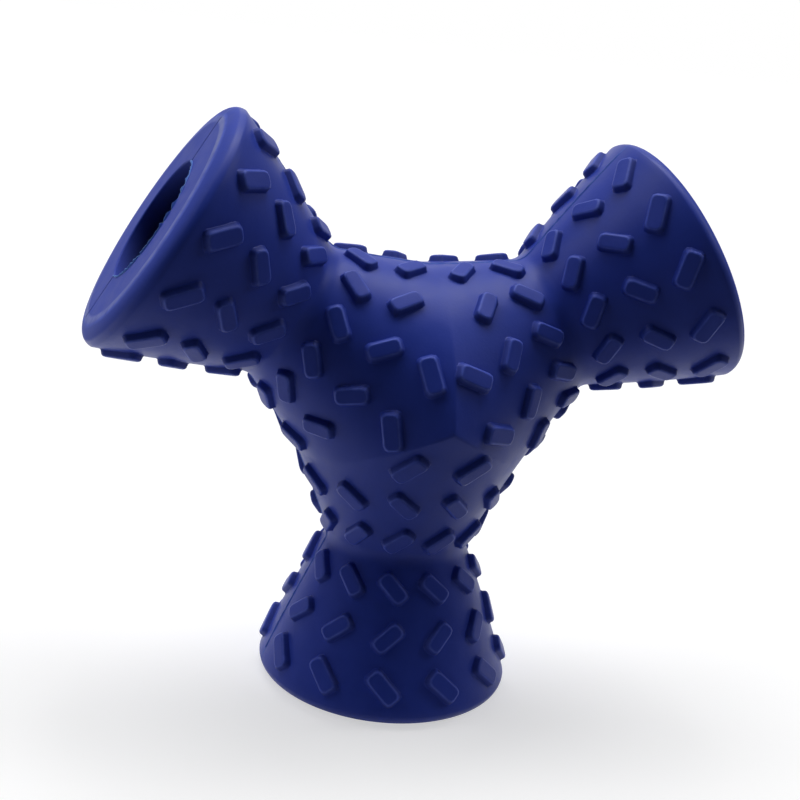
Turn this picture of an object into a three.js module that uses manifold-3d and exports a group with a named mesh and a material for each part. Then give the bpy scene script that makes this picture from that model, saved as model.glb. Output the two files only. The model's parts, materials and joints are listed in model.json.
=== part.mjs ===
import * as THREE from 'three';
import { LoftGeometry } from 'three/addons/geometries/LoftGeometry.js';
import { mergeGeometries, mergeVertices } from 'three/addons/utils/BufferGeometryUtils.js';
import Module from 'manifold-3d';

// Hollow rubber treat toy. Three hourglass arms lie in one upright plane, 120 degrees apart.
// It is moulded as two alike half shells with their chewing nubs, turned back to back and
// bonded along the mid-plane, where the bonding rubber stands out as a thin bead.
// Millimetres, +Z up, front towards -Y. The toy stands on the mouth of its lower arm, and the
// origin is the middle of that mouth's face. Stations run from the hub's centre along an arm.

// Arm, outside
const ARMS = 3;
const ARM_LENGTH = 72; // hub centre to mouth face
const HUB_RADIUS = 33.8; // front of the hub to its centre
const HUB_SAG = 0.6; // dip of the hub's cone below a straight side
const NECK_STATION = 36;
const NECK_RADIUS = 16.6; // of the sharp valley before its fillet
const NECK_FILLET = 5;
const NECK_BLEND = 10; // length of the straight side kept for the neck's fillet
const CUP_RADIUS = 31.5; // where the flare meets the mouth face, before the lip is rounded
const CUP_SWELL = 0.45; // rise of the cup's flare above a straight side
const LIP_FILLET = 3.3;

// Arm, inside
const WALL = 5;
const END_WALL = 4.5;
const MOUTH_RADIUS = 14.7;
const POCKET_FILLET = 4;
const OVERCUT = 2; // how far cutters reach past the faces that they cut

// Chewing nubs: rings round each arm, leaning one way and then the other
const NUB_LENGTH = 9;
const RIM_NUB_LENGTH = 9.9; // in the ring next to the lip
const NUB_WIDTH = 4.6;
const NUB_HEIGHT = 1.3;
const NUB_DRAFT = 0.7; // inset of the flat top from the foot, all round
const NUB_CORNER = 1;
const NUB_ROOT = 1.2; // depth of the foot below the wall's surface
const NUB_LEAN = THREE.MathUtils.degToRad(45);
const NUB_PITCH = THREE.MathUtils.degToRad(29); // between neighbours in a ring
const NUBS_PER_HALF_RING = 6;
const RINGS_PER_SIDE = 3; // on the cup, and again on the hub
const RING_PITCH = 10.35;
const CUP_RING_TO_MOUTH = 9.4; // rim ring to mouth face
const HUB_RING_TO_NECK = 5.7; // first hub ring to neck

// Bond along the mid-plane
const SEAM_THICKNESS = 0.6;
const SEAM_PROUD = 0.5; // of the bead above the wall

// Fineness of the faceted surfaces
const OUTSIDE_COLUMNS = 24; // round an arm, a multiple of 4 so that seams and fronts have a column
const POCKET_COLUMNS = 16;
const HUB_ROWS = 2;
const CUP_ROWS = 2;
const FILLET_STEPS = 2;
const LIP_STEPS = 3;
const CORNER_STEPS = 1;
const WELD = 1e-4;

const HALF_SPREAD = Math.PI / ARMS;
const MITRE_SLOPE = Math.tan(HALF_SPREAD); // half width of an arm's own sector per station
const HUB_END = NECK_STATION - NECK_BLEND;

const RUBBER = { color: 0x2f3c86, roughness: 0.55, metalness: 0 };
const BOND = { color: 0x4a63b8, roughness: 0.5, metalness: 0 };

const wasm = await Module();
wasm.setup();

// A geometry's positions and faces alone.
function bareGeometry(geometry) {
  const bare = new THREE.BufferGeometry().copy(geometry);
  bare.deleteAttribute('normal');
  bare.deleteAttribute('uv');
  return bare;
}

// A closed geometry as a solid that can be joined and cut.
function solid(geometry) {
  const welded = mergeVertices(bareGeometry(geometry), WELD);
  const mesh = new wasm.Mesh({
    numProp: 3,
    vertProperties: welded.attributes.position.array,
    triVerts: new Uint32Array(welded.index.array),
  });
  mesh.merge();
  return new wasm.Manifold(mesh);
}

function geometryOf(made) {
  const { vertProperties, triVerts } = made.getMesh();
  const geometry = new THREE.BufferGeometry();
  geometry.setAttribute('position', new THREE.BufferAttribute(vertProperties, 3));
  geometry.setIndex(new THREE.BufferAttribute(triVerts, 1));
  geometry.computeVertexNormals();
  return geometry;
}

// Radius of the hub's cone, which runs from the hub's centre to the neck.
function hubRadius(station, inset) {
  const t = station / NECK_STATION;
  return THREE.MathUtils.lerp(HUB_RADIUS, NECK_RADIUS, t) - 4 * HUB_SAG * t * (1 - t) - inset;
}

// Radius of the cup, which flares from the neck to the mouth face.
function cupRadius(station, inset) {
  const t = (station - NECK_STATION) / (ARM_LENGTH - NECK_STATION);
  return THREE.MathUtils.lerp(NECK_RADIUS, CUP_RADIUS, t) + 4 * CUP_SWELL * t * (1 - t) - inset;
}

// Station where a line down the hub's cone meets the plane midway to the next arm.
// aside is the share of the radius that points towards that plane.
function mitreStation(aside, inset) {
  const square = 4 * HUB_SAG * aside;
  const linear = (HUB_RADIUS - NECK_RADIUS) * aside + square + MITRE_SLOPE * NECK_STATION;
  const constant = (HUB_RADIUS - inset) * aside;
  const root = Math.sqrt(linear * linear - 4 * square * constant);
  return (NECK_STATION * 2 * constant) / (linear + root);
}

// Arc that rounds the corner of an outline.
function fillet(before, corner, after, radius, steps) {
  const back = before.clone().sub(corner).normalize();
  const on = after.clone().sub(corner).normalize();
  const half = back.angleTo(on) / 2;
  const middle = back.clone().add(on).normalize();
  const centre = corner.clone().addScaledVector(middle, radius / Math.sin(half));
  const reach = radius / Math.tan(half);
  const start = corner.clone().addScaledVector(back, reach).sub(centre).angle();
  const end = corner.clone().addScaledVector(on, reach).sub(centre).angle();
  const turn = Math.atan2(Math.sin(end - start), Math.cos(end - start));
  const arc = [];
  for (let i = 0; i <= steps; i++) {
    const angle = start + (turn * i) / steps;
    arc.push(new THREE.Vector2(Math.cos(angle), Math.sin(angle)).multiplyScalar(radius).add(centre));
  }
  return arc;
}

// Outline of an arm from the end of its hub cone to a flat end, as (station, radius).
function armOutline(inset, end, endFillet, endSteps) {
  const hubEnd = new THREE.Vector2(HUB_END, hubRadius(HUB_END, inset));
  const neck = new THREE.Vector2(NECK_STATION, NECK_RADIUS - inset);
  const corner = new THREE.Vector2(end, cupRadius(end, inset));
  const side = [];
  for (let i = 1; i < CUP_ROWS; i++) {
    const station = THREE.MathUtils.lerp(NECK_STATION, end, i / CUP_ROWS);
    side.push(new THREE.Vector2(station, cupRadius(station, inset)));
  }
  const onFace = new THREE.Vector2(end, MOUTH_RADIUS);
  return [
    hubEnd,
    ...fillet(hubEnd, neck, side[0], NECK_FILLET + inset, FILLET_STEPS),
    ...side,
    ...fillet(side[side.length - 1], corner, onFace, endFillet, endSteps),
  ];
}

function outerOutline(inset) {
  return armOutline(inset, ARM_LENGTH, LIP_FILLET, LIP_STEPS);
}

// The pocket follows the outside at one wall's distance and leaves by the mouth's round hole.
function pocketOutline(mouthEnd) {
  const endFace = ARM_LENGTH - END_WALL;
  return [
    ...armOutline(WALL, endFace, POCKET_FILLET, FILLET_STEPS),
    new THREE.Vector2(endFace, MOUTH_RADIUS),
    new THREE.Vector2(mouthEnd, MOUTH_RADIUS),
  ];
}

// One arm along +Z, lofted from its mitre with the other arms to a flat end.
function armGeometry(inset, outline, columns) {
  const sections = [];
  const angles = [];
  for (let i = 0; i < columns; i++) angles.push((2 * Math.PI * i) / columns);
  const point = (angle, station, radius) =>
    new THREE.Vector3(radius * Math.cos(angle), radius * Math.sin(angle), station);
  for (let row = 0; row < HUB_ROWS; row++) {
    const ring = angles.map((angle) => {
      const mitre = mitreStation(Math.abs(Math.cos(angle)), inset);
      const station = THREE.MathUtils.lerp(mitre, HUB_END, row / HUB_ROWS);
      return point(angle, station, hubRadius(station, inset));
    });
    sections.push(ring);
  }
  for (const { x: station, y: radius } of outline) {
    sections.push(angles.map((angle) => point(angle, station, radius)));
  }
  return bareGeometry(new LoftGeometry(sections, { capEnd: true }));
}

// Directions of the arms, as turns about Y from straight up: the first points down.
function armTurns() {
  const turns = [];
  for (let i = 0; i < ARMS; i++) turns.push(Math.PI + 2 * HALF_SPREAD * i);
  return turns;
}

function starSolid(inset, outline, columns) {
  const arm = armGeometry(inset, outline, columns);
  return solid(mergeGeometries(armTurns().map((turn) => arm.clone().rotateY(turn))));
}

// Section of a nub, a rectangle with rounded corners.
function nubSection(length, width, corner, height) {
  const points = [];
  for (let quarter = 0; quarter < 4; quarter++) {
    const alongSide = quarter === 0 || quarter === 3 ? 1 : -1;
    const acrossSide = quarter < 2 ? 1 : -1;
    for (let i = 0; i <= CORNER_STEPS; i++) {
      const angle = (Math.PI / 2) * (quarter + i / CORNER_STEPS);
      const along = alongSide * (length / 2 - corner) + corner * Math.cos(angle);
      const across = acrossSide * (width / 2 - corner) + corner * Math.sin(angle);
      points.push(new THREE.Vector3(along, across, height));
    }
  }
  return points;
}

// A nub with sloping sides, its foot's middle at the origin and its top towards +Z.
function nubGeometry(length) {
  const spread = (NUB_DRAFT * NUB_ROOT) / NUB_HEIGHT;
  const foot = nubSection(length + 2 * spread, NUB_WIDTH + 2 * spread, NUB_CORNER + spread, -NUB_ROOT);
  const top = nubSection(
    length - 2 * NUB_DRAFT,
    NUB_WIDTH - 2 * NUB_DRAFT,
    NUB_CORNER - NUB_DRAFT,
    NUB_HEIGHT,
  );
  return bareGeometry(new LoftGeometry([foot, top], { capStart: true, capEnd: true }));
}

// Seat of a nub on an arm along +Z: angle turns from one seam, over the front, to the other.
function nubSeat(station, angle, lean) {
  const radiusAt = station < NECK_STATION ? hubRadius : cupRadius;
  const radius = radiusAt(station, 0);
  const slope = (radiusAt(station + WELD, 0) - radius) / WELD;
  const out = new THREE.Vector3(-Math.cos(angle), -Math.sin(angle), 0);
  const around = new THREE.Vector3(Math.sin(angle), -Math.cos(angle), 0);
  const up = new THREE.Vector3(0, 0, 1);
  const along = up.clone().addScaledVector(out, slope).normalize();
  const normal = out.clone().addScaledVector(up, -slope).normalize();
  const length = along.multiplyScalar(Math.cos(lean)).addScaledVector(around, Math.sin(lean));
  const width = normal.clone().cross(length);
  const place = out.clone().multiplyScalar(radius).setZ(station);
  return new THREE.Matrix4().makeBasis(length, width, normal).setPosition(place);
}

// Rings of nubs on one arm, from the lip to the hub, in turn leaning left and right.
function nubRings() {
  const rings = [];
  for (let i = 0; i < RINGS_PER_SIDE; i++) {
    rings.push({
      station: ARM_LENGTH - CUP_RING_TO_MOUTH - i * RING_PITCH,
      lean: i % 2 ? NUB_LEAN : -NUB_LEAN,
      length: i ? NUB_LENGTH : RIM_NUB_LENGTH,
    });
    rings.push({
      station: NECK_STATION - HUB_RING_TO_NECK - i * RING_PITCH,
      lean: i % 2 ? -NUB_LEAN : NUB_LEAN,
      length: NUB_LENGTH,
    });
  }
  return rings;
}

// Nubs on the front half of one arm. A nub past the mitre belongs to no arm and is left out.
function armNubs() {
  const nubs = [];
  for (const { station, lean, length } of nubRings()) {
    for (let i = 0; i < NUBS_PER_HALF_RING; i++) {
      const angle = Math.PI / 2 + (i - (NUBS_PER_HALF_RING - 1) / 2) * NUB_PITCH;
      const aside = Math.abs(Math.cos(angle));
      if (station < mitreStation(aside, 0)) continue;
      nubs.push(nubGeometry(length).applyMatrix4(nubSeat(station, angle, lean)));
    }
  }
  return nubs;
}

function frontShellGeometry() {
  let shell = starSolid(0, outerOutline(0), OUTSIDE_COLUMNS);
  const nubs = armNubs();
  for (const turn of armTurns()) {
    for (const nub of nubs) shell = shell.add(solid(nub.clone().rotateY(turn)));
  }
  shell = shell.subtract(starSolid(WALL, pocketOutline(ARM_LENGTH + OVERCUT), POCKET_COLUMNS));
  const reach = ARM_LENGTH + CUP_RADIUS + OVERCUT;
  const backHalf = new THREE.BoxGeometry(2 * reach, 2 * reach, 2 * reach);
  backHalf.translate(0, reach - SEAM_THICKNESS / 2, 0);
  return geometryOf(shell.subtract(solid(backHalf)));
}

// Bond between two mouths: a flat strip as wide as the wall's section on the mid-plane,
// standing proud of the outside. It is drawn for the two arms that point up.
function seamBeadGeometry() {
  const mitre = (inset) => {
    const station = mitreStation(1, inset);
    return new THREE.Vector2(station, hubRadius(station, inset));
  };
  const outside = [mitre(-SEAM_PROUD), ...outerOutline(-SEAM_PROUD)];
  const inside = [mitre(WALL), ...pocketOutline(ARM_LENGTH)].reverse();
  const along = new THREE.Vector2(Math.sin(HALF_SPREAD), Math.cos(HALF_SPREAD));
  const across = new THREE.Vector2(-along.y, along.x);
  const right = [...outside, ...inside].map(({ x: station, y: radius }) =>
    along.clone().multiplyScalar(station).addScaledVector(across, radius),
  );
  const left = right.slice(1, -1).reverse();
  const outline = [...right, ...left.map(({ x, y }) => new THREE.Vector2(-x, y))];
  const strip = new THREE.ExtrudeGeometry(new THREE.Shape(outline), {
    depth: SEAM_THICKNESS,
    bevelEnabled: false,
  });
  return strip.rotateX(Math.PI / 2).translate(0, SEAM_THICKNESS / 2, 0);
}

const toy = new THREE.Group();
const hub = new THREE.Group();
hub.position.z = ARM_LENGTH;
toy.add(hub);

const shellGeometry = frontShellGeometry();
['front_shell', 'back_shell'].forEach((name, i) => {
  const shell = new THREE.Mesh(shellGeometry, new THREE.MeshStandardMaterial(RUBBER));
  shell.name = name;
  shell.rotation.z = i * Math.PI;
  hub.add(shell);
});

const beadGeometry = seamBeadGeometry();
['seam_bead_top', 'seam_bead_right', 'seam_bead_left'].forEach((name, i) => {
  const bead = new THREE.Mesh(beadGeometry, new THREE.MeshStandardMaterial(BOND));
  bead.name = name;
  bead.rotation.y = 2 * HALF_SPREAD * i;
  hub.add(bead);
});

export default toy;
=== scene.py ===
# %% [markdown]
# # A hollow rubber treat toy
# Three hourglass arms lie in one upright plane, 120 degrees apart. The toy is moulded in
# blue rubber as two alike half shells, which are bonded back to back along their mid-plane.
# Slanted nubs cover the arms, and each arm ends in a round mouth that lets treats out.
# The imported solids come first, because they fix where every piece goes.

# %% The frame
import json
import math

import bpy
from mathutils import Matrix, Vector, noise

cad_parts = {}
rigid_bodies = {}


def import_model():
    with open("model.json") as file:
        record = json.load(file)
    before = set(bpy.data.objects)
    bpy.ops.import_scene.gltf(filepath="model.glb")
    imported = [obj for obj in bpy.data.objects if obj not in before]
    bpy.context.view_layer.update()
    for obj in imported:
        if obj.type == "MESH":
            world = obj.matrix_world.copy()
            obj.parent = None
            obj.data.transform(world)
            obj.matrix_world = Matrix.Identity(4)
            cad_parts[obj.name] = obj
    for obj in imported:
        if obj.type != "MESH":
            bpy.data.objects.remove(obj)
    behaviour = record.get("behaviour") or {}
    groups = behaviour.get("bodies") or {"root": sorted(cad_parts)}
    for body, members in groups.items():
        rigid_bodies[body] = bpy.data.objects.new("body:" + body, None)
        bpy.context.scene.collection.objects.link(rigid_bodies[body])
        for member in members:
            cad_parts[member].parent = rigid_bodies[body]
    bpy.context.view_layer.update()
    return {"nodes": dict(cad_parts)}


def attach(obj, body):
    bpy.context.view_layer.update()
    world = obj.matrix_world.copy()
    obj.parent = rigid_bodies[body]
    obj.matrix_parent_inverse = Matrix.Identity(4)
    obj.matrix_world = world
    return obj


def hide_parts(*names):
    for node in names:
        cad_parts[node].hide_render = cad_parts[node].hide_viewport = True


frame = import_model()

print("nodes:", sorted(frame["nodes"]))

# %% [markdown]
# ## The camera
# The toy is seen a little from the left and from above, and the picture is rolled a few
# degrees. A turn about Z, a tilt about X and a roll about the view line are all that a camera
# needs, so they are written as three turns and not as a tracking constraint.

# %% Camera at the photograph's angle
HUB_CENTRE = Vector((0, 0, 0.072))
AIM = HUB_CENTRE + Vector((-0.00285, 0, -0.00254))
AZIMUTH = math.radians(-16.48)
ELEVATION = math.radians(15.79)
ROLL = math.radians(6.66)
DISTANCE = 0.3067
LENS_MM = 58.92
SENSOR_MM = 36
CLIP_START = 0.01

turn = Matrix.Rotation(AZIMUTH, 3, "Z")
tilt = Matrix.Rotation(math.pi / 2 - ELEVATION, 3, "X")
roll = Matrix.Rotation(ROLL, 3, "Z")
view = turn @ tilt @ roll
eye = AIM + view @ Vector((0, 0, DISTANCE))
bpy.ops.object.camera_add(location=eye, rotation=view.to_euler())
camera = bpy.context.object
camera.data.lens = LENS_MM
camera.data.sensor_width = SENSOR_MM
camera.data.clip_start = CLIP_START
bpy.context.scene.camera = camera
print("camera at", [round(v, 4) for v in eye])

# %% [markdown]
# ## One arm
# Each arm is a turned shape: a cone that narrows from the hub to the neck, a cup that flares
# to the mouth, a bowed lip, a round hole, and the pocket inside, one wall's thickness in.
# A spin of a drawn profile would do. Here a circle is extruded ring by ring and each ring is
# scaled to its radius, because every ring then has the same columns, and the seam's plane
# falls on a column. Stations run from the hub's centre along the arm.

# %% Sizes of the arm, in metres
ARM_LENGTH = 0.072
HUB_RADIUS = 0.0338
HUB_SAG = 0.0006
NECK_STATION = 0.036
NECK_RADIUS = 0.0166
NECK_FILLET = 0.005
CUP_RADIUS = 0.0315
CUP_SWELL = 0.00045
LIP = 0.0034
LIP_FACE_RADIUS = 0.0252
LIP_CORNER_RADIUS = 0.0301
LIP_CREASE = 0.0003
WALL = 0.005
END_WALL = 0.0045
MOUTH_RADIUS = 0.0147
MOUTH_EDGE = 0.0004
POCKET_FILLET = 0.004
COLUMNS = 144


def hub_radius(station):
    t = station / NECK_STATION
    return HUB_RADIUS + (NECK_RADIUS - HUB_RADIUS) * t - 4 * HUB_SAG * t * (1 - t)


def cup_radius(station):
    t = (station - NECK_STATION) / (ARM_LENGTH - NECK_STATION)
    return NECK_RADIUS + (CUP_RADIUS - NECK_RADIUS) * t + 4 * CUP_SWELL * t * (1 - t)


def wall_radius(station):
    return hub_radius(station) if station < NECK_STATION else cup_radius(station)


print("mouth %.1f mm wide, hub %.1f mm deep" % (2000 * MOUTH_RADIUS, 2000 * HUB_RADIUS))

# %% Profile of the arm, outside and back through the mouth to the inside
NECK_SPAN = 0.006
POCKET_SPAN = 0.01
OUTER_STEP = 0.0013
INNER_STEP = 0.003
NECK_STEPS = 8
INNER_NECK_STEPS = 4
LIP_STEPS = 11
FACE_RADII = (0.0244, 0.0228, 0.0208, 0.0188, 0.017)
EDGE_STEPS = 4
BACK_EDGE_STEPS = 2
POCKET_STEPS = 4


def rounded(before, corner, after, radius, steps):
    """Points of the arc that rounds a corner of the profile."""
    corner = Vector(corner)
    back = (Vector(before) - corner).normalized()
    on = (Vector(after) - corner).normalized()
    half = back.angle(on) / 2
    centre = corner + (back + on).normalized() * radius / math.sin(half)
    start = corner + back * radius / math.tan(half) - centre
    end = corner + on * radius / math.tan(half) - centre
    sweep = start.angle_signed(end)
    points = []
    for i in range(steps + 1):
        points.append(centre + Matrix.Rotation(-sweep * i / steps, 2) @ start)
    return points


def bowed(start, corner, end, steps):
    """Points of a curve that leaves towards a corner and bends to its end."""
    start, corner, end = Vector(start), Vector(corner), Vector(end)
    points = []
    for i in range(steps + 1):
        t = i / steps
        points.append(start * (1 - t) ** 2 + corner * 2 * t * (1 - t) + end * t ** 2)
    return points


def run(radius_at, first, last, step):
    """Points along a side, with both ends."""
    count = max(2, round(abs(last - first) / step))
    stations = [first + (last - first) * i / count for i in range(count + 1)]
    return [Vector((station, radius_at(station))) for station in stations]


def side(inset, end, step, fillet_steps):
    """The hub's cone, the rounded neck and the cup's flare, to just short of the end."""
    def inner(station):
        return wall_radius(station) - inset

    near, far = NECK_STATION - NECK_SPAN, NECK_STATION + NECK_SPAN
    neck = (NECK_STATION, NECK_RADIUS - inset)
    valley = rounded((near, inner(near)), neck, (far, inner(far)), NECK_FILLET + inset,
                     fillet_steps)
    if valley[0].x > near:
        hub = run(inner, 0, near, step)
    else:
        hub = run(inner, 0, valley[0].x, step)[:-1]
    cup_start = max(far, valley[-1].x + step)
    return hub + valley + run(inner, cup_start, end, step)


def arm_profile():
    pocket_end = ARM_LENGTH - END_WALL
    lip = bowed((ARM_LENGTH - LIP, cup_radius(ARM_LENGTH - LIP)),
                (ARM_LENGTH - LIP_CREASE, LIP_CORNER_RADIUS),
                (ARM_LENGTH, LIP_FACE_RADIUS), LIP_STEPS)
    face = [Vector((ARM_LENGTH, radius)) for radius in FACE_RADII]
    edge = rounded((ARM_LENGTH, CUP_RADIUS), (ARM_LENGTH, MOUTH_RADIUS),
                   (pocket_end, MOUTH_RADIUS), MOUTH_EDGE, EDGE_STEPS)
    back_edge = rounded((ARM_LENGTH, MOUTH_RADIUS), (pocket_end, MOUTH_RADIUS),
                        (pocket_end, CUP_RADIUS), MOUTH_EDGE / 2, BACK_EDGE_STEPS)
    corner = (pocket_end, cup_radius(pocket_end) - WALL)
    corner_start = pocket_end - POCKET_SPAN
    pocket = rounded((pocket_end, MOUTH_RADIUS), corner,
                     (corner_start, cup_radius(corner_start) - WALL), POCKET_FILLET, POCKET_STEPS)
    outside = side(0, lip[0].x - OUTER_STEP, OUTER_STEP, NECK_STEPS)
    inside = side(WALL, pocket[-1].x - INNER_STEP, INNER_STEP, INNER_NECK_STEPS)
    return outside + lip + face + edge + back_edge + pocket + inside[::-1]


profile = arm_profile()
print("profile has", len(profile), "rings")

# %% Extrude the arm ring by ring
ARM_COUNT = 3
HUB_TURN = 2 * math.pi / ARM_COUNT


def take(*pieces):
    """Select these objects alone. The last one is active."""
    bpy.ops.object.select_all(action="DESELECT")
    for piece in pieces:
        piece.select_set(True)
    bpy.context.view_layer.objects.active = pieces[-1]


def lathe(name, rings, columns):
    first = rings[0]
    bpy.ops.object.select_all(action="DESELECT")
    bpy.ops.mesh.primitive_circle_add(vertices=columns, radius=first.y, location=(0, 0, 0))
    made = bpy.context.object
    made.name = name
    bpy.ops.object.mode_set(mode="EDIT")
    bpy.ops.mesh.select_all(action="SELECT")
    bpy.ops.transform.translate(value=(0, 0, first.x))
    for last, ring in zip(rings, rings[1:]):
        bpy.ops.mesh.extrude_region_move(
            TRANSFORM_OT_translate={"value": (0, 0, ring.x - last.x)})
        scale = ring.y / last.y
        bpy.ops.transform.resize(value=(scale, scale, 1), center_override=(0, 0, ring.x))
    bpy.ops.object.mode_set(mode="OBJECT")
    return made


arm = lathe("arm", profile, COLUMNS)
print("arm has", len(arm.data.polygons), "faces")

# %% [markdown]
# ## The star
# Three arms meet at the hub. Each is cut by the two planes that lie midway to its neighbours,
# so the cut edges of two arms are the same line and weld without a gap. A boolean join would
# also work, but it leaves the inside of each arm standing in the others. A second cut, which
# clears nothing, lays a row of points close beside each mitre for the ridge's small rounding.
# The weld's reach is much smaller than the gap between any two points of one arm, so it joins
# only points that coincide. It never has to choose between close ones, and every run gives the
# same star.

# %% Mitre the arm, copy it round the hub and weld
WELD = 1e-6
CUT_THRESHOLD = 1e-7
RIDGE_HALF = 0.0004


def copy_of(piece, name, place):
    """A copy with its own mesh, moved by a matrix."""
    made = piece.copy()
    made.data = piece.data.copy()
    made.name = name
    made.data.transform(place)
    bpy.context.scene.collection.objects.link(made)
    return made


take(arm)
bpy.ops.object.mode_set(mode="EDIT")
for hand in (1, -1):
    normal = Vector((hand * math.cos(HUB_TURN / 2), 0, -math.sin(HUB_TURN / 2)))
    bpy.ops.mesh.select_all(action="SELECT")
    bpy.ops.mesh.bisect(plane_co=(0, 0, 0), plane_no=normal, clear_outer=True,
                        threshold=CUT_THRESHOLD)
    bpy.ops.mesh.select_all(action="SELECT")
    bpy.ops.mesh.bisect(plane_co=-RIDGE_HALF * normal, plane_no=normal, threshold=CUT_THRESHOLD)
bpy.ops.object.mode_set(mode="OBJECT")

arm_turns = [math.pi + HUB_TURN * i for i in range(ARM_COUNT)]
arm_axes = [Matrix.Rotation(t, 3, "Y") @ Vector((0, 0, 1)) for t in arm_turns]
to_hub = Matrix.Translation(HUB_CENTRE)
arms = [copy_of(arm, "arm_%d" % i, Matrix.Rotation(t, 4, "Y")) for i, t in enumerate(arm_turns)]
bpy.data.objects.remove(arm)
take(*arms)
bpy.ops.object.join()
star = bpy.context.object
star.name = "star"
bpy.ops.object.mode_set(mode="EDIT")
bpy.ops.mesh.select_all(action="SELECT")
bpy.ops.mesh.remove_doubles(threshold=WELD)
bpy.ops.mesh.normals_make_consistent(inside=False)
bpy.ops.object.mode_set(mode="OBJECT")
print("star has", len(star.data.vertices), "vertices")

# %% Round the ridges between the arms
RIDGE_ROW = 0.00005
RIDGE_SMOOTHING = 0.5
RIDGE_PASSES = 2


def on_ridge(point):
    """True on a plane midway between two arms."""
    for t in arm_turns:
        across = Vector((math.cos(t + HUB_TURN / 2), 0, -math.sin(t + HUB_TURN / 2)))
        along = Vector((math.sin(t + HUB_TURN / 2), 0, math.cos(t + HUB_TURN / 2)))
        if abs(point.dot(across)) < RIDGE_ROW and point.dot(along) > -RIDGE_ROW:
            return True
    return False


def pick(piece, test):
    """Select the vertices for which test is true, and leave edit mode on."""
    take(piece)
    bpy.ops.object.mode_set(mode="EDIT")
    bpy.ops.mesh.select_mode(type="VERT")
    bpy.ops.mesh.select_all(action="DESELECT")
    bpy.ops.object.mode_set(mode="OBJECT")
    for vertex in piece.data.vertices:
        vertex.select = test(vertex.co)
    picked = sum(vertex.select for vertex in piece.data.vertices)
    bpy.ops.object.mode_set(mode="EDIT")
    return picked


ridge_points = pick(star, on_ridge)
bpy.ops.mesh.vertices_smooth(factor=RIDGE_SMOOTHING, repeat=RIDGE_PASSES)
bpy.ops.object.mode_set(mode="OBJECT")
print("points on the ridges:", ridge_points)

# %% [markdown]
# ## One nub
# A nub is a low bar with rounded corners, sloping sides, a flat top with a wide rounded edge
# and a small fillet at its foot. A plane is rounded at its corners and then extruded upwards in
# rings that step inwards, as a mould's pocket would be cut. The top edge is lightened with a
# painted highlight, with some chalky wear from chewing, and the foot and steep sides are
# darkened with painted shade. Each ring also carries a value for either, and the finish reads
# them later.

# %% Model the nub
NUB = (0.008, 0.0042)
LONG_NUB = (0.0089, 0.0046)
NUB_CORNER = 0.0011
NUB_CORNER_STEPS = 2
NUB_HEIGHT = 0.00152
# The third value of each ring paints a highlight, with some wear, and the fourth paints shade.
NUB_RINGS = [(-0.001, -0.0003, 0, 0), (-0.00006, -0.0003, 0, 0), (0.00025, 0, 0, 0.45),
             (0.0011, 0.00022, 0.3, 0.3), (0.0014, 0.0005, 1, 0), (NUB_HEIGHT, 0.0009, 0, 0)]
NUB_MARKS = ("wear_and_highlight", "painted_shade")


def nub_piece(name, length, width):
    """Rings are (height, inset from the foot, painted highlight with wear, painted shade)."""
    height, inset = NUB_RINGS[0][:2]
    size = (length - 2 * inset, width - 2 * inset)
    bpy.ops.object.select_all(action="DESELECT")
    bpy.ops.mesh.primitive_plane_add(size=1, location=(0, 0, 0))
    made = bpy.context.object
    made.name = name
    bpy.ops.object.mode_set(mode="EDIT")
    bpy.ops.mesh.select_all(action="SELECT")
    bpy.ops.transform.resize(value=(size[0], size[1], 1), center_override=(0, 0, 0))
    bpy.ops.transform.translate(value=(0, 0, height))
    bpy.ops.mesh.bevel(offset=NUB_CORNER - inset, segments=NUB_CORNER_STEPS, affect="VERTICES")
    bpy.ops.mesh.select_all(action="SELECT")
    bpy.ops.mesh.flip_normals()
    for last, ring in zip(NUB_RINGS, NUB_RINGS[1:]):
        (low, wide), (high, narrow) = last[:2], ring[:2]
        bpy.ops.mesh.extrude_region_move(
            TRANSFORM_OT_translate={"value": (0, 0, high - low)})
        scale = ((length - 2 * narrow) / (length - 2 * wide),
                 (width - 2 * narrow) / (width - 2 * wide), 1)
        bpy.ops.transform.resize(value=scale, center_override=(0, 0, high))
    bpy.ops.mesh.select_all(action="SELECT")
    bpy.ops.mesh.normals_make_consistent(inside=False)
    bpy.ops.object.mode_set(mode="OBJECT")
    for mark in NUB_MARKS:
        made.data.attributes.new(mark, "FLOAT", "POINT")
    for i, vertex in enumerate(made.data.vertices):
        nearest = min(NUB_RINGS, key=lambda ring: abs(ring[0] - vertex.co.z))
        for mark, value in zip(NUB_MARKS, nearest[2:]):
            made.data.attributes[mark].data[i].value = value
    return made


nub = nub_piece("nub", *NUB)
long_nub = nub_piece("long_nub", *LONG_NUB)
print("nub has", len(nub.data.polygons), "faces")

# %% [markdown]
# ## Rings of nubs
# Six rings go round each arm, three on the cup and three on the hub's cone. The nubs lean one
# way in one ring and the other way in the next, and the first and last ring have longer ones.
# Six nubs share the front half of a ring, and the rings nearest to the hub's middle lose those
# that would lie past the mitre. Each copy's foot is bent to the round wall, and its top is bent
# less, because a cutter leaves it flatter.

# %% Seat the nubs on the three arms
NUB_LEAN = math.radians(45)
NUB_PITCH = math.radians(29)
NUBS_PER_HALF_RING = 6
RINGS_PER_CONE = 3
RING_PITCH = 0.01035
CUP_RING_TO_MOUTH = 0.0092
HUB_RING_TO_NECK = 0.0057
SLOPE_STEP = 0.0001
FLAT_TOP = 0.6


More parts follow.
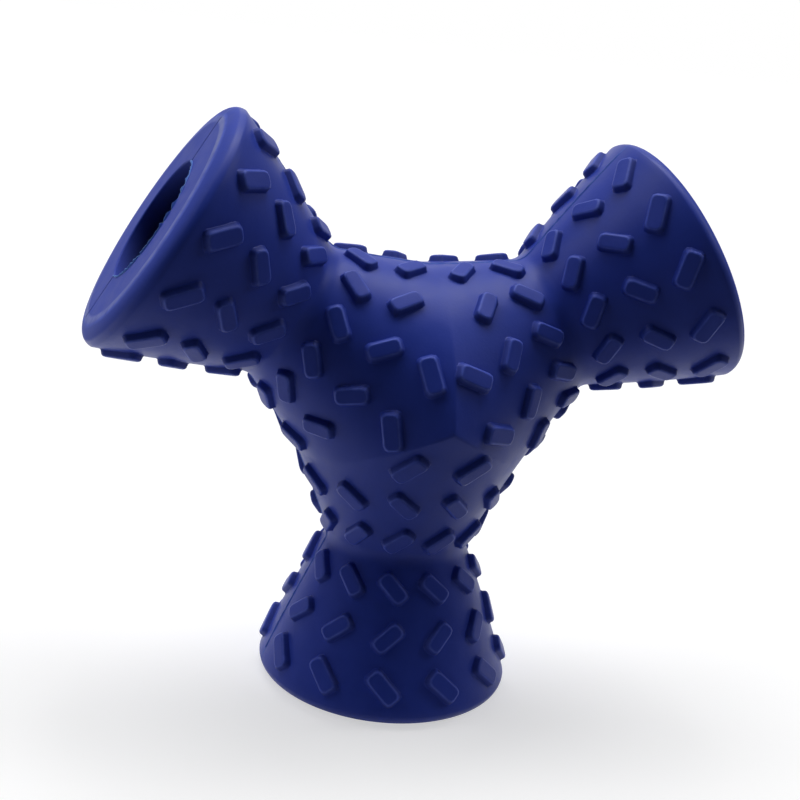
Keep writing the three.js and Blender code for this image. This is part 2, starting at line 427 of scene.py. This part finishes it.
def seated(model, name, station, angle, lean):
    """A copy of a nub on an arm that points along +Z."""
    radius = wall_radius(station)
    slope = (wall_radius(station + SLOPE_STEP) - radius) / SLOPE_STEP
    out = Vector((-math.cos(angle), -math.sin(angle), 0))
    around = Vector((math.sin(angle), -math.cos(angle), 0))
    up = Vector((0, 0, 1))
    along = (up + out * slope).normalized()
    normal = (out - up * slope).normalized()
    length = along * math.cos(lean) + around * math.sin(lean)
    width = normal.cross(length)
    basis = Matrix((length, width, normal)).transposed().to_4x4()
    place = out * radius + up * station
    made = copy_of(model, name, Matrix.Translation(place) @ basis)
    for vertex in made.data.vertices:
        height = (vertex.co - place).dot(normal)
        foot = vertex.co - normal * height
        drop = (foot.xy.length - wall_radius(foot.z)) * normal.dot(out)
        follow = 1 - FLAT_TOP * min(max(height / NUB_HEIGHT, 0), 1)
        vertex.co -= normal * drop * follow
    return made


def nub_rings():
    """Station, lean and model of each ring, in pairs from the mouth and from the neck."""
    for i in range(RINGS_PER_CONE):
        lean = NUB_LEAN if i % 2 else -NUB_LEAN
        cup_nub = nub if i > 0 else long_nub
        hub_nub = nub if i < RINGS_PER_CONE - 1 else long_nub
        yield ARM_LENGTH - CUP_RING_TO_MOUTH - i * RING_PITCH, lean, cup_nub
        yield NECK_STATION - HUB_RING_TO_NECK - i * RING_PITCH, -lean, hub_nub


def past_mitre(station, angle):
    return wall_radius(station) * abs(math.cos(angle)) > station * math.tan(HUB_TURN / 2)


nubs = []
for station, lean, model in nub_rings():
    for i in range(NUBS_PER_HALF_RING):
        angle = math.pi / 2 + (i - (NUBS_PER_HALF_RING - 1) / 2) * NUB_PITCH
        if past_mitre(station, angle):
            continue
        master = seated(model, "master", station, angle, lean)
        for t in arm_turns:
            nubs.append(copy_of(master, "nub_%d" % len(nubs), Matrix.Rotation(t, 4, "Y")))
        bpy.data.objects.remove(master)
bpy.data.objects.remove(nub)
bpy.data.objects.remove(long_nub)
print("nubs on the front half:", len(nubs))
take(*nubs)
bpy.ops.object.join()
nub_field = bpy.context.object
nub_field.name = "nub_field"

# %% [markdown]
# ## Lips with painted highlight, trimmed faces and the painted dark inside
# The bowed lips of the mouths are rubbed by the floor and by teeth, as the nubs' edges are, and
# they are lightened with a painted highlight. Their crest gets the most, and a thin pale line of
# painted highlight. Faces and lips are trimmed after moulding, which leaves them matt, and the
# inside is darkened with painted shade. These values are written to the points before the star
# is cut, because a boolean and a cut carry them along.

# %% Mark the lips, the faces and the inside
MARKS = ("wear_and_highlight", "trimmed", "painted_shade", "crest_highlight")
LIP_CREST_RADIUS = 0.0274
LIP_SIDE_WEAR_AND_HIGHLIGHT = 0.1
CREST_HIGHLIGHT_RADIUS = 0.0265


def arm_place(point):
    """Station along the nearest arm, and distance from its middle line."""
    station = max(point.dot(axis) for axis in arm_axes)
    return station, math.sqrt(max(point.length_squared - station ** 2, 0))


for name in MARKS:
    star.data.attributes.new(name, "FLOAT", "POINT")
wear_and_highlight_points, cut, shade_points, crest_highlight_points = [star.data.attributes[name] for name in MARKS]
# Inside: painted shade. Lips: painted highlight with some wear, and on the crest a painted
# highlight line.
for i, vertex in enumerate(star.data.vertices):
    station, radius = arm_place(vertex.co)
    if station < ARM_LENGTH - END_WALL / 2 and radius < wall_radius(station) - WALL / 2:
        shade_points.data[i].value = 1
    elif station > ARM_LENGTH - LIP / 2:
        cut.data[i].value = 1
        if radius > LIP_FACE_RADIUS - WELD:
            wear_and_highlight_points.data[i].value = 1 if radius < LIP_CREST_RADIUS else LIP_SIDE_WEAR_AND_HIGHLIGHT
            crest_highlight_points.data[i].value = 1 if radius < CREST_HIGHLIGHT_RADIUS else 0
for marks in (wear_and_highlight_points, cut, shade_points, crest_highlight_points):
    print(marks.name, "points:", sum(mark.value > 0 for mark in marks.data))

# %% [markdown]
# ## The half shells
# The star is cut on its mid-plane and filled there, and the front half gets its nubs by a
# boolean union, so that it is one closed body. The back half is the same moulding turned
# round. Weighted normals then let the wide flat faces keep their own shading, so the narrow
# rounded edges between them catch the light as a fine line.

# %% Cut the front half and join its nubs
SEAM_HALF = 0.0003

section = copy_of(star, "section", Matrix.Identity(4))
take(star)
bpy.ops.object.mode_set(mode="EDIT")
bpy.ops.mesh.select_all(action="SELECT")
bpy.ops.mesh.bisect(plane_co=(0, -SEAM_HALF, 0), plane_no=(0, 1, 0), clear_outer=True,
                    use_fill=True, threshold=CUT_THRESHOLD)
bpy.ops.object.mode_set(mode="OBJECT")

union = star.modifiers.new("nubs", "BOOLEAN")
union.operation = "UNION"
union.solver = "MANIFOLD"
union.object = nub_field
take(star)
bpy.ops.object.modifier_apply(modifier=union.name)
bpy.data.objects.remove(nub_field)
bpy.ops.object.mode_set(mode="EDIT")
bpy.ops.mesh.select_mode(type="VERT")
bpy.ops.mesh.select_all(action="DESELECT")
bpy.ops.mesh.select_non_manifold()
bpy.ops.object.mode_set(mode="OBJECT")
print("front half:", len(star.data.polygons), "faces, open points:",
      sum(v.select for v in star.data.vertices))

# %% Turn a copy round for the back half, and shade both
SMOOTH_UP_TO = math.radians(34)

front_shell = copy_of(star, "front_shell_moulding", to_hub)
back_shell = copy_of(star, "back_shell_moulding", to_hub @ Matrix.Rotation(math.pi, 4, "Z"))
bpy.data.objects.remove(star)
for shell in (front_shell, back_shell):
    take(shell)
    bpy.ops.object.shade_smooth_by_angle(angle=SMOOTH_UP_TO)
    weighted = shell.modifiers.new("weighted", "WEIGHTED_NORMAL")
    weighted.keep_sharp = True
    bpy.ops.object.modifier_apply(modifier=weighted.name)
    print(shell.name, len(shell.data.vertices), "points")

# %% [markdown]
# ## The bond
# Three strips of bonding rubber fill the joint, each from one mouth to the next. Along the
# outside the rubber is squeezed out into a thin ragged fin, and at the mouth faces it stays a
# little below, which leaves the fine line across each face. The strips come from the star's
# own section: a bisect that clears both sides leaves nothing but its filled cut. A random pull
# would follow the order of the points, which a cut doesn't keep, so a noise over the place says
# how far each part of the fin's crest stands out.

# %% Cut the section into strips
SEAMS = ("top", "right", "left")

take(section)
bpy.ops.object.mode_set(mode="EDIT")
bpy.ops.mesh.select_all(action="SELECT")
bpy.ops.mesh.bisect(plane_co=(0, 0, 0), plane_no=(0, 1, 0), clear_outer=True, clear_inner=True,
                    use_fill=True, threshold=CUT_THRESHOLD)
bpy.ops.mesh.separate(type="LOOSE")
bpy.ops.object.mode_set(mode="OBJECT")
beads = {}
for strip in list(bpy.context.selected_objects):
    middle = sum((v.co for v in strip.data.vertices), Vector()) / len(strip.data.vertices)
    turned = math.atan2(middle.x, middle.z) / HUB_TURN
    beads[SEAMS[round(turned) % ARM_COUNT]] = strip
beads = dict(sorted(beads.items()))
print("strips:", {which: len(strip.data.vertices) for which, strip in beads.items()})

# %% Thicken the strips, sink their ends and raise the fins
BEAD_SUNK = 0.0004
FIN = 0.00014
FIN_STEP = 0.00004
FIN_LEVELS = (-0.2, 0, 0.2)
FIN_LUMPS_PER_M = 900
FIN_STOP = 0.006
EDGE_FACE = 0.5


def outside(point):
    """True on an arm's outer wall, short of the mouth."""
    station, radius = arm_place(Vector((point.x, 0, point.z)))
    return station < ARM_LENGTH - FIN_STOP and radius > wall_radius(station) - WALL / 2


def raise_fin(strip):
    """Raise the crest, then raise parts of it further, step by step. Count its points."""
    bpy.ops.object.mode_set(mode="EDIT")
    bpy.ops.mesh.select_mode(type="FACE")
    bpy.ops.mesh.select_all(action="DESELECT")
    bpy.ops.object.mode_set(mode="OBJECT")
    for face in strip.data.polygons:
        face.select = abs(face.normal.y) < EDGE_FACE and outside(face.center)
    bpy.ops.object.mode_set(mode="EDIT")
    bpy.ops.mesh.subdivide(number_cuts=1)
    bpy.ops.object.mode_set(mode="OBJECT")
    crest = pick(strip, lambda co: abs(co.y) < WELD)
    bpy.ops.transform.shrink_fatten(value=FIN)
    for level in FIN_LEVELS:
        bpy.ops.object.mode_set(mode="OBJECT")
        pick(strip, lambda co: abs(co.y) < WELD and noise.noise(co * FIN_LUMPS_PER_M) > level)
        bpy.ops.transform.shrink_fatten(value=FIN_STEP)
    bpy.ops.object.mode_set(mode="OBJECT")
    return crest


for which, strip in beads.items():
    strip.name = "seam_bead_%s_rubber" % which
    take(strip)
    bpy.ops.object.mode_set(mode="EDIT")
    bpy.ops.mesh.select_mode(type="FACE")
    bpy.ops.mesh.select_all(action="SELECT")
    bpy.ops.transform.translate(value=(0, -SEAM_HALF, 0))
    bpy.ops.mesh.extrude_region_move(TRANSFORM_OT_translate={"value": (0, 2 * SEAM_HALF, 0)})
    bpy.ops.mesh.select_all(action="SELECT")
    bpy.ops.mesh.normals_make_consistent(inside=False)
    bpy.ops.object.mode_set(mode="OBJECT")
    for axis in arm_axes:
        if pick(strip, lambda co: co.dot(axis) > ARM_LENGTH - WELD):
            bpy.ops.transform.translate(value=-BEAD_SUNK * axis)
        bpy.ops.object.mode_set(mode="OBJECT")
    print(strip.name, "crest points:", raise_fin(strip))
    strip.data.transform(to_hub)
    take(strip)
    bpy.ops.object.shade_smooth_by_angle(angle=SMOOTH_UP_TO)

# %% [markdown]
# ## Flash in the mouths
# Where a mould's core meets its end plate, rubber creeps into the gap and leaves a thin torn
# fin round the hole's edge. An open ring is extruded outwards along the arm, random picks of
# its outer points are pulled further out, it is halved on the joint, and Solidify gives it its
# thickness. Standing on the lower mouth wears its fin away, so only the upper mouths have one.

# %% Tear a ring of flash and copy it to the upper mouths
FLASH_POINTS = 150
FLASH_SUNK = 0.0005
FLASH_THICKNESS = 0.0002
FLASH_PULLS = (0.0001, 0.00012, 0.00016, 0.0002)
FLASH_SHARE = 0.45

bpy.ops.object.select_all(action="DESELECT")
bpy.ops.mesh.primitive_circle_add(vertices=FLASH_POINTS, radius=MOUTH_RADIUS + FLASH_THICKNESS,
                                  location=(0, 0, 0))
fin = bpy.context.object
bpy.ops.object.mode_set(mode="EDIT")
bpy.ops.mesh.select_all(action="SELECT")
bpy.ops.transform.translate(value=(0, 0, ARM_LENGTH - FLASH_SUNK))
bpy.ops.mesh.extrude_region_move(TRANSFORM_OT_translate={"value": (0, 0, FLASH_SUNK)})
for seed, pull in enumerate(FLASH_PULLS):
    bpy.ops.object.mode_set(mode="OBJECT")
    pick(fin, lambda co: co.z > ARM_LENGTH - WELD)
    bpy.ops.mesh.select_random(ratio=1 - FLASH_SHARE, seed=seed, action="DESELECT")
    bpy.ops.transform.translate(value=(0, 0, pull))
bpy.ops.mesh.select_all(action="SELECT")
bpy.ops.mesh.bisect(plane_co=(0, -SEAM_HALF, 0), plane_no=(0, 1, 0), clear_outer=True)
bpy.ops.object.mode_set(mode="OBJECT")
thick = fin.modifiers.new("thick", "SOLIDIFY")
thick.thickness = FLASH_THICKNESS
thick.offset = 0
take(fin)
bpy.ops.object.modifier_apply(modifier=thick.name)
fins = [copy_of(fin, "fin_%d" % i, to_hub @ Matrix.Rotation(t, 4, "Y"))
        for i, t in enumerate(arm_turns[1:])]
bpy.data.objects.remove(fin)
take(*fins)
bpy.ops.object.join()
mouth_flash = bpy.context.object
mouth_flash.name = "front_shell_mouth_flash"
bpy.ops.object.mode_set(mode="EDIT")
bpy.ops.mesh.select_all(action="SELECT")
bpy.ops.mesh.normals_make_consistent(inside=False)
bpy.ops.object.mode_set(mode="OBJECT")
# A value on the flash's points for the painted light that passes through it.
shine_through = mouth_flash.data.attributes.new("shine_through", "FLOAT", "POINT")
for value in shine_through.data:
    value.value = 1
print("flash has", len(mouth_flash.data.polygons), "faces")

# %% [markdown]
# ## Rubber
# The finish is worked out with node maths. A small class wraps a socket, so that a sum of two
# noises is written as a sum, and every other node comes from one method.

# %% Node maths
class Socket:
    """A value on its way through a material."""

    def __init__(self, tree, link):
        self.tree = tree
        self.link = link

    def node(self, kind, settings=None, out=0, **inputs):
        """Add a node. Settings are set first, then the sockets, by name or as pin_0, pin_1."""
        made = self.tree.nodes.new("ShaderNode" + kind)
        for name, value in (settings or {}).items():
            setattr(made, name, value)
        for name, value in inputs.items():
            key = int(name[4:]) if name.startswith("pin_") else name.replace("_", " ")
            pin = made.inputs[key]
            if isinstance(value, Socket):
                self.tree.links.new(value.link, pin)
            else:
                pin.default_value = value
        return Socket(self.tree, made.outputs[out])

    def maths(self, operation, first, second):
        return self.node("Math", {"operation": operation}, pin_0=first, pin_1=second)

    def __add__(self, other):
        return self.maths("ADD", self, other)

    __radd__ = __add__

    def __sub__(self, other):
        return self.maths("SUBTRACT", self, other)

    def __rsub__(self, other):
        return self.maths("SUBTRACT", other, self)

    def __mul__(self, other):
        return self.maths("MULTIPLY", self, other)

    __rmul__ = __mul__

    def noise(self, scale, detail, roughness=0.5):
        return self.node("TexNoise", Vector=self, Scale=scale, Detail=detail, Roughness=roughness)

    def point_value(self, name):
        """A value that was written to the mesh's points."""
        return self.node("Attribute", {"attribute_name": name}, out=2)

    def fade(self, low, high):
        """0 below low, 1 above high, smooth between."""
        return self.node("MapRange", {"interpolation_type": "SMOOTHSTEP"}, Value=self,
                         From_Min=low, From_Max=high)

    def blend(self, dark, light):
        """A colour between two, by this value."""
        return self.node("Mix", {"data_type": "RGBA"}, out=2, pin_0=self, pin_6=dark, pin_7=light)


def start(name):
    """A new material: its shader node and its Object coordinates."""
    material = bpy.data.materials.new(name)
    material.use_nodes = True
    tree = material.node_tree
    shader = tree.nodes["Principled BSDF"]
    place = tree.nodes.new("ShaderNodeTexCoord").outputs["Object"]
    return material, shader, Socket(tree, place)


def link(shader, socket, value):
    """Feed a value to one of a shader's sockets."""
    value.tree.links.new(value.link, shader.inputs[socket])


print("node maths ready")

# %% [markdown]
# ## Shell rubber
# The shells are natural rubber, coloured all through, with a satin skin. Close up it has a
# fine grain from the mould and a cloudy, uneven tone, and the rubbed edges have gone chalky and
# carry a painted highlight. Three noises at three sizes give these, and the grain also drives the
# bump. The values on the points then say where the skin gets chalk with painted highlight, the
# painted highlight line on the crest, a matt skin or painted shade.

# %% Finish of the shells
DEEP_BLUE = (0.023, 0.052, 0.405, 1)
PALE_BLUE = (0.034, 0.067, 0.475, 1)
# Chalk with a painted highlight, the painted highlight line on the lips' crest, and painted shade
# inside and at the nubs' feet.
CHALK_AND_HIGHLIGHT_BLUE = (0.12, 0.18, 0.74, 1)
CREST_HIGHLIGHT_BLUE = (0.25, 0.28, 0.56, 1)
PAINTED_SHADE_BLUE = (0.007, 0.016, 0.12, 1)
CLOUDS_PER_M, MOTTLES_PER_M, GRAINS_PER_M = 40, 260, 1700
CLOUD_DETAIL, MOTTLE_DETAIL, GRAIN_DETAIL = 3, 4, 2
MOTTLE_ROUGHNESS = 0.6
CLOUD_FADE, MOTTLE_FADE = (0.3, 0.7), (0.25, 0.75)
CLOUD_TONE, MOTTLE_TONE, GRAIN_TONE = 0.45, 0.3, 0.25
CHALK_AND_HIGHLIGHT_LEAST, CHALK_AND_HIGHLIGHT_MOTTLE = 0.25, 0.5
CREST_HIGHLIGHT_LEAST, CREST_HIGHLIGHT_CLOUD, CREST_HIGHLIGHT_MOTTLE = 0.15, 0.35, 0.45
SATIN, MOTTLE_DULLS = 0.36, 0.1
RUB_DULLS, TRIM_DULLS, PAINTED_SHADE_DULLS = 0.06, 0.22, 0.35
GRAIN_DEPTH, GRAIN_STRENGTH, MOTTLE_IN_GRAIN = 0.00006, 0.3, 0.6
SKIN_SPECULAR = 0.22

rubber, shader, place = start("shell_rubber")
cloud = place.noise(CLOUDS_PER_M, CLOUD_DETAIL).fade(*CLOUD_FADE)
mottle = place.noise(MOTTLES_PER_M, MOTTLE_DETAIL, MOTTLE_ROUGHNESS).fade(*MOTTLE_FADE)
grain = place.noise(GRAINS_PER_M, GRAIN_DETAIL)
tone = cloud * CLOUD_TONE + mottle * MOTTLE_TONE + grain * GRAIN_TONE
skin = tone.blend(DEEP_BLUE, PALE_BLUE)
wear_and_highlight, trimmed, painted_shade, crest_highlight = [place.point_value(name) for name in MARKS]
# Painted highlight with chalk on edges and lips, the painted crest highlight, and painted shade.
chalk_and_highlight = wear_and_highlight * (mottle * CHALK_AND_HIGHLIGHT_MOTTLE + CHALK_AND_HIGHLIGHT_LEAST)
crest_highlight_mix = crest_highlight * (cloud * CREST_HIGHLIGHT_CLOUD + mottle * CREST_HIGHLIGHT_MOTTLE + CREST_HIGHLIGHT_LEAST)
highlit_worn_skin = crest_highlight_mix.blend(chalk_and_highlight.blend(skin, CHALK_AND_HIGHLIGHT_BLUE), CREST_HIGHLIGHT_BLUE)
link(shader, "Base Color", painted_shade.blend(highlit_worn_skin, PAINTED_SHADE_BLUE))
dull = wear_and_highlight * RUB_DULLS + trimmed * TRIM_DULLS + painted_shade * PAINTED_SHADE_DULLS
link(shader, "Roughness", mottle * MOTTLE_DULLS + dull + SATIN)
link(shader, "Normal", place.node("Bump", Height=grain + mottle * MOTTLE_IN_GRAIN,
                                  Strength=GRAIN_STRENGTH, Distance=GRAIN_DEPTH))
shader.inputs["Specular IOR Level"].default_value = SKIN_SPECULAR
for shell in (front_shell, back_shell):
    shell.data.materials.clear()
    shell.data.materials.append(rubber)
print("shell rubber has", len(rubber.node_tree.nodes), "nodes")

# %% [markdown]
# ## Bonding rubber
# The bond is a drier blue than the shells, with its own grain. The torn fins in the mouths are
# so thin that light passes through them, and a value on their points paints that light into
# them as a paler blue.

# %% Finish of the beads and the flash
BOND_DEEP = (0.03, 0.08, 0.46, 1)
BOND_PALE = (0.07, 0.15, 0.58, 1)
SHINE_THROUGH_BLUE = (0.15, 0.32, 0.78, 1)
PATCHES_PER_M, SPECKS_PER_M = 350, 2400
PATCH_DETAIL, SPECK_DETAIL = 3, 2
PATCH_FADE = (0.3, 0.7)
PATCH_TONE, SPECK_TONE = 0.7, 0.3
SHINE_THROUGH_LEAST, SHINE_THROUGH_PATCHES = 0.6, 0.4
BOND_DRY, PATCH_DULLS = 0.5, 0.15
SPECK_DEPTH, SPECK_STRENGTH = 0.00005, 0.4
BOND_SPECULAR = 0.25

bond, bond_shader, bond_place = start("bond_rubber")
patches = bond_place.noise(PATCHES_PER_M, PATCH_DETAIL).fade(*PATCH_FADE)
specks = bond_place.noise(SPECKS_PER_M, SPECK_DETAIL)
dry_blue = (patches * PATCH_TONE + specks * SPECK_TONE).blend(BOND_DEEP, BOND_PALE)
# Painted light: the flash is painted paler for the light passing through it.
painted_shine_through = bond_place.point_value("shine_through") * (patches * SHINE_THROUGH_PATCHES + SHINE_THROUGH_LEAST)
link(bond_shader, "Base Color", painted_shine_through.blend(dry_blue, SHINE_THROUGH_BLUE))
link(bond_shader, "Roughness", patches * PATCH_DULLS + BOND_DRY)
link(bond_shader, "Normal", bond_place.node("Bump", Height=specks, Strength=SPECK_STRENGTH,
                                            Distance=SPECK_DEPTH))
bond_shader.inputs["Specular IOR Level"].default_value = BOND_SPECULAR
for piece in list(beads.values()) + [mouth_flash]:
    piece.data.materials.clear()
    piece.data.materials.append(bond)
print("bonding rubber has", len(bond.node_tree.nodes), "nodes")

# %% [markdown]
# ## Which piece stands for which solid
# Every piece rides on the one body, because nothing on the toy moves. Each stands for a packed
# solid, which is hidden.

# %% Ride and replace
for shell, node in ((front_shell, "front_shell"), (back_shell, "back_shell")):
    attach(shell, "root")
    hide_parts(node)
for which, bead in beads.items():
    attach(bead, "root")
    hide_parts("seam_bead_" + which)
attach(mouth_flash, "root")
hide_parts("front_shell")
print("pieces:", [piece.name for piece in (front_shell, back_shell, mouth_flash, *beads.values())])

# %% [markdown]
# ## Floor and surround
# The toy stands on plain white paper in a white tent that is open towards the camera. The
# paper and the surround look white to the camera and through glass. In bounced light the paper
# is white only behind the toy, and in reflections both are white behind it with a faint gleam
# in front, so its front keeps the photograph's dark, even blue and its outline gets pale edges.

# %% Floor
FLOOR_WHITE = (0.55, 0.55, 0.55, 1)
FLOOR_GLOW = (0.56, 0.56, 0.56, 1)
FLOOR_OPEN = (0.15, 0.15, 0.15, 1)
FLOOR_BACK = (0.92, 0.92, 0.92, 1)
FRONT_GLEAM = 0.15
FLOOR_SIZE = 30
FLOOR_FADE = (-0.09, -0.03)

bpy.ops.object.select_all(action="DESELECT")
bpy.ops.mesh.primitive_plane_add(size=FLOOR_SIZE, location=(0, 0, 0))
floor = bpy.context.object
floor.name = "floor"
paper, paper_shader, paper_place = start("floor_paper")
ray = paper.node_tree.nodes.new("ShaderNodeLightPath")
seen, mirrored, passed = [Socket(paper.node_tree, ray.outputs["Is %s Ray" % kind])
                          for kind in ("Camera", "Glossy", "Transmission")]
behind = paper_place.node("SeparateXYZ", out=1, Vector=paper_place).fade(*FLOOR_FADE)
bounced = behind.blend(FLOOR_OPEN, FLOOR_BACK)
dimmed = (1 - behind) * (1 - FRONT_GLEAM)
white_for = seen + passed + mirrored * (1 - dimmed)
link(paper_shader, "Base Color", white_for.blend(bounced, FLOOR_WHITE))
link(paper_shader, "Emission Color", white_for.blend((0, 0, 0, 1), FLOOR_GLOW))
paper_shader.inputs["Emission Strength"].default_value = 1
paper_shader.inputs["Roughness"].default_value = 1
paper_shader.inputs["Specular IOR Level"].default_value = 0
floor.data.materials.append(paper)
print("floor", round(floor.dimensions.x), "m wide")

# %% Surround
SURROUND = 0.005
SURROUND_FADE = (0.45, 1.0)

world = bpy.data.worlds.new("surround")
bpy.context.scene.world = world
world.use_nodes = True
sky = world.node_tree.nodes["Background"]
sky.inputs["Color"].default_value = (1, 1, 1, 1)
ray = world.node_tree.nodes.new("ShaderNodeLightPath")
seen, mirrored, passed = [Socket(world.node_tree, ray.outputs["Is %s Ray" % kind])
                          for kind in ("Camera", "Glossy", "Transmission")]
coordinates = world.node_tree.nodes.new("ShaderNodeTexCoord")
aim = Socket(world.node_tree, coordinates.outputs["Generated"])
behind = aim.node("SeparateXYZ", out=1, Vector=aim).fade(*SURROUND_FADE)
dimmed = (1 - behind) * (1 - FRONT_GLEAM)
white_for = seen + passed + mirrored * (1 - dimmed)
link(sky, "Strength", white_for * (1 - SURROUND) + SURROUND)
print("surround lights the toy at", SURROUND)

# %% [markdown]
# ## Lamps
# Four wide lamps, two high behind and one low at each side, light the toy as a tent's roof
# and walls do. Sun lamps give the same light all over the floor, so it stays an even white,
# and their wide angle keeps the shadow soft.

# %% Lamps
LAMP_ANGLE = math.radians(35)
LAMP_HEIGHT = 0.5
LAMPS = (("back_left", 205, 66, 1.15), ("back_right", 130, 69, 1.15),
         ("left_wall", 262, 43, 0.55), ("right_wall", 86, 38, 0.52))


def lamp(name, azimuth, elevation, strength):
    """A sun from azimuth degrees to the right of the front, elevation degrees up."""
    bpy.ops.object.light_add(type="SUN", location=(0, 0, LAMP_HEIGHT),
                             rotation=(math.radians(90 - elevation), 0, math.radians(azimuth)))
    made = bpy.context.object
    made.name = name
    made.data.energy = strength
    made.data.angle = LAMP_ANGLE
    return made


lamps = [lamp(*row) for row in LAMPS]
bpy.context.scene.view_settings.view_transform = "Standard"
print("lamps:", [made.name for made in lamps])
